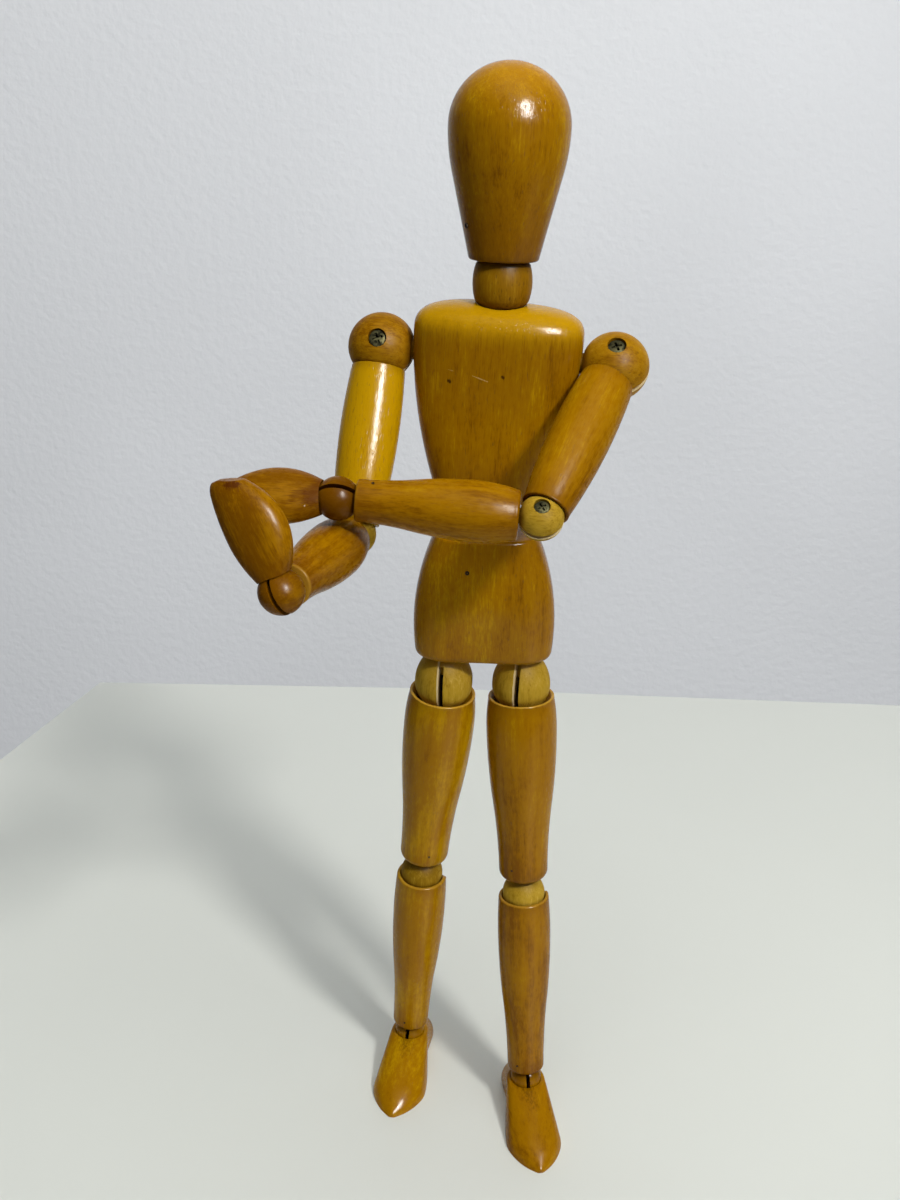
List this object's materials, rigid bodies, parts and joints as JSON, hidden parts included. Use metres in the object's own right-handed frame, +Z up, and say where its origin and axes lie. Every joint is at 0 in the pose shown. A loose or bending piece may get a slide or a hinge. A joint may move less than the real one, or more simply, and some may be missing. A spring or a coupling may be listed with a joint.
{
  "type": "artist mannequin",
  "caption": "Jointed wooden drawing figure with a plain egg-shaped head, slotted ball joints on steel tongues and recessed cross-head screws, standing with crossed arms.",
  "frame": {"origin": "on the floor under the left ankle pivot, in the plane of the soles", "axes": "+Z up, -Y to the front of the figure, +X to the left side of the figure"},
  "size_m": [0.1004, 0.0916, 0.2999],
  "materials": {
    "lacquered_wood": "clear gloss lacquer over honey-coloured wood",
    "bare_wood": "matte, sanded and unlacquered",
    "neck_wood": "thin matte stain",
    "screw_metal": "dull plated",
    "tongue_steel": "plain, slightly dulled"
  },
  "bodies": {
    "pelvis": {"pelvis": "lacquered_wood", "pelvis_brads": "tongue_steel"},
    "waist_ball": {"waist_ball": "bare_wood"},
    "chest": {"chest": "lacquered_wood", "chest_brads": "tongue_steel", "waist_hinge": "tongue_steel", "neck_hinge": "tongue_steel"},
    "neck": {"neck": "neck_wood"},
    "head": {"head": "lacquered_wood", "head_brad": "tongue_steel"},
    "right_shoulder_ball": {"right_shoulder_ball": "bare_wood", "right_shoulder_screw": "screw_metal"},
    "right_shoulder_tongue": {"right_shoulder_tongue": "tongue_steel"},
    "right_upper_arm": {"right_upper_arm": "lacquered_wood", "right_elbow_tongue": "tongue_steel"},
    "right_elbow_ball": {"right_elbow_ball": "bare_wood", "right_elbow_screw": "screw_metal"},
    "right_forearm": {"right_forearm": "lacquered_wood", "right_forearm_brads": "tongue_steel", "right_wrist_ball": "lacquered_wood"},
    "right_hand": {"right_hand": "lacquered_wood", "right_wrist_hinge": "tongue_steel"},
    "right_hip_ball": {"right_hip_ball": "bare_wood", "right_hip_screw": "screw_metal"},
    "right_thigh": {"right_thigh": "lacquered_wood", "right_hip_tongue": "tongue_steel", "right_thigh_brad": "tongue_steel"},
    "right_knee_ball": {"right_knee_ball": "bare_wood", "right_knee_screw": "screw_metal"},
    "right_shin": {"right_shin": "lacquered_wood", "right_knee_tongue": "tongue_steel", "right_shin_brad": "tongue_steel"},
    "right_ankle_ball": {"right_ankle_ball": "lacquered_wood"},
    "right_foot": {"right_foot": "lacquered_wood", "right_ankle_hinge": "tongue_steel"},
    "left_shoulder_ball": {"left_shoulder_ball": "bare_wood", "left_shoulder_screw": "screw_metal"},
    "left_shoulder_tongue": {"left_shoulder_tongue": "tongue_steel"},
    "left_upper_arm": {"left_upper_arm": "lacquered_wood", "left_elbow_tongue": "tongue_steel"},
    "left_elbow_ball": {"left_elbow_ball": "bare_wood", "left_elbow_screw": "screw_metal"},
    "left_forearm": {"left_forearm": "lacquered_wood", "left_forearm_brads": "tongue_steel", "left_wrist_ball": "lacquered_wood"},
    "left_hand": {"left_hand": "lacquered_wood", "left_wrist_hinge": "tongue_steel"},
    "left_hip_ball": {"left_hip_ball": "bare_wood", "left_hip_screw": "screw_metal"},
    "left_thigh": {"left_thigh": "lacquered_wood", "left_hip_tongue": "tongue_steel", "left_thigh_brad": "tongue_steel"},
    "left_knee_ball": {"left_knee_ball": "bare_wood", "left_knee_screw": "screw_metal"},
    "left_shin": {"left_shin": "lacquered_wood", "left_knee_tongue": "tongue_steel", "left_shin_brad": "tongue_steel"},
    "left_ankle_ball": {"left_ankle_ball": "lacquered_wood"},
    "left_foot": {"left_foot": "lacquered_wood", "left_ankle_hinge": "tongue_steel"}
  },
  "joints": [
    {"name": "waist_turn", "type": "hinge", "parent": "pelvis", "child": "waist_ball", "pos_m": [-0.01652, 0.01135, 0.19147], "axis": [0, 0, -1], "range_deg": [-45, 45]},
    {"name": "waist_bend", "type": "hinge", "parent": "waist_ball", "child": "chest", "pos_m": [-0.01652, 0.01135, 0.19147], "axis": [0.9963, -0.0854, 0], "range_deg": [-25, 25]},
    {"name": "neck_nod", "type": "hinge", "parent": "chest", "child": "neck", "pos_m": [-0.01411, 0.01319, 0.24989], "axis": [0.9963, -0.0858, -0.0105], "range_deg": [-20, 20]},
    {"name": "head_turn", "type": "hinge", "parent": "neck", "child": "head", "pos_m": [-0.01411, 0.01319, 0.24989], "axis": [0.0179, 0.0859, 0.9961], "range_deg": [-90, 90]},
    {"name": "right_shoulder_swing", "type": "hinge", "parent": "chest", "child": "right_shoulder_ball", "pos_m": [-0.04383, 0.01514, 0.23283], "axis": [0.9955, -0.0867, -0.0384], "range_deg": [-1, 80]},
    {"name": "right_shoulder_lift", "type": "hinge", "parent": "right_shoulder_ball", "child": "right_shoulder_tongue", "pos_m": [-0.04383, 0.01514, 0.23283], "axis": [0.0569, 0.8704, -0.489], "range_deg": [-12, 5]},
    {"name": "right_arm_twist", "type": "hinge", "parent": "right_shoulder_tongue", "child": "right_upper_arm", "pos_m": [-0.04383, 0.01514, 0.23283], "axis": [0.1018, 0.4822, 0.8701], "range_deg": [-80, 70]},
    {"name": "right_elbow_bend", "type": "hinge", "parent": "right_upper_arm", "child": "right_elbow_ball", "pos_m": [-0.04868, -0.00786, 0.19133], "axis": [0.9763, -0.2166, 0.0058], "range_deg": [-3, 66]},
    {"name": "right_forearm_twist", "type": "hinge", "parent": "right_elbow_ball", "child": "right_forearm", "pos_m": [-0.04868, -0.00786, 0.19133], "axis": [0.2161, 0.9716, -0.0963], "range_deg": [-90, 90]},
    {"name": "right_wrist_bend", "type": "hinge", "parent": "right_forearm", "child": "right_hand", "pos_m": [-0.0589, -0.05382, 0.19588], "axis": [0.873, -0.1481, 0.4647], "range_deg": [-4, 90]},
    {"name": "right_hip_turn", "type": "hinge", "parent": "pelvis", "child": "right_hip_ball", "pos_m": [-0.02712, 0.01135, 0.14097], "axis": [0, 0, -1], "range_deg": [-35, 35]},
    {"name": "right_hip_bend", "type": "hinge", "parent": "right_hip_ball", "child": "right_thigh", "pos_m": [-0.02712, 0.01135, 0.14097], "axis": [-0.9973, 0.0732, 0], "range_deg": [-40, 65]},
    {"name": "right_knee_turn", "type": "hinge", "parent": "right_thigh", "child": "right_knee_ball", "pos_m": [-0.03315, 0.01351, 0.07568], "axis": [0.0919, -0.0329, 0.9952], "range_deg": [-30, 45]},
    {"name": "right_knee_bend", "type": "hinge", "parent": "right_knee_ball", "child": "right_shin", "pos_m": [-0.03315, 0.01351, 0.07568], "axis": [0.8234, -0.5595, -0.0946], "range_deg": [-3, 76]},
    {"name": "right_ankle_turn", "type": "hinge", "parent": "right_shin", "child": "right_ankle_ball", "pos_m": [-0.03716, 0.01849, 0.0113], "axis": [0.0619, -0.077, 0.9951], "range_deg": [-35, 35]},
    {"name": "right_ankle_bend", "type": "hinge", "parent": "right_ankle_ball", "child": "right_foot", "pos_m": [-0.03716, 0.01849, 0.0113], "axis": [0.9891, -0.1285, -0.0715], "range_deg": [-25, 25]},
    {"name": "left_shoulder_swing", "type": "hinge", "parent": "chest", "child": "left_shoulder_ball", "pos_m": [0.01411, 0.0101, 0.2306], "axis": [0.9955, -0.0867, -0.0384], "range_deg": [-70, 1]},
    {"name": "left_shoulder_lift", "type": "hinge", "parent": "left_shoulder_ball", "child": "left_shoulder_tongue", "pos_m": [0.01411, 0.0101, 0.2306], "axis": [0.0206, 0.5924, -0.8054], "range_deg": [-1.5, 2]},
    {"name": "left_arm_twist", "type": "hinge", "parent": "left_shoulder_tongue", "child": "left_upper_arm", "pos_m": [0.01411, 0.0101, 0.2306], "axis": [-0.3617, -0.7465, -0.5584], "range_deg": [-80, 1]},
    {"name": "left_elbow_bend", "type": "hinge", "parent": "left_upper_arm", "child": "left_elbow_ball", "pos_m": [-0.00314, -0.02551, 0.20396], "axis": [0.0201, -0.6051, 0.7959], "range_deg": [-4, 1.5]},
    {"name": "left_forearm_twist", "type": "hinge", "parent": "left_elbow_ball", "child": "left_forearm", "pos_m": [-0.00314, -0.02551, 0.20396], "axis": [0.9978, -0.038, -0.0541], "range_deg": [-90, 90]},
    {"name": "left_wrist_bend", "type": "hinge", "parent": "left_forearm", "child": "left_hand", "pos_m": [-0.05034, -0.02372, 0.20652], "axis": [0.0626, 0.8047, 0.5904], "range_deg": [-20, 80]},
    {"name": "left_hip_turn", "type": "hinge", "parent": "pelvis", "child": "left_hip_ball", "pos_m": [-0.00592, 0.01135, 0.14097], "axis": [0, 0, -1], "range_deg": [-35, 35]},
    {"name": "left_hip_bend", "type": "hinge", "parent": "left_hip_ball", "child": "left_thigh", "pos_m": [-0.00592, 0.01135, 0.14097], "axis": [0.986, -0.1668, 0], "range_deg": [-60, 45]},
    {"name": "left_knee_turn", "type": "hinge", "parent": "left_thigh", "child": "left_knee_ball", "pos_m": [-0.00294, 0.00564, 0.07569], "axis": [-0.0454, 0.0871, 0.9952], "range_deg": [-45, 30]},
    {"name": "left_knee_bend", "type": "hinge", "parent": "left_knee_ball", "child": "left_shin", "pos_m": [-0.00294, 0.00564, 0.07569], "axis": [0.985, -0.1619, 0.0591], "range_deg": [-2.5, 78]},
    {"name": "left_ankle_turn", "type": "hinge", "parent": "left_shin", "child": "left_ankle_ball", "pos_m": [0, 0, 0.0113], "axis": [-0.0454, 0.0871, 0.9952], "range_deg": [-35, 35]},
    {"name": "left_ankle_bend", "type": "hinge", "parent": "left_ankle_ball", "child": "left_foot", "pos_m": [0, 0, 0.0113], "axis": [0.9832, 0.1804, 0.0291], "range_deg": [-25, 25]}
  ]
}
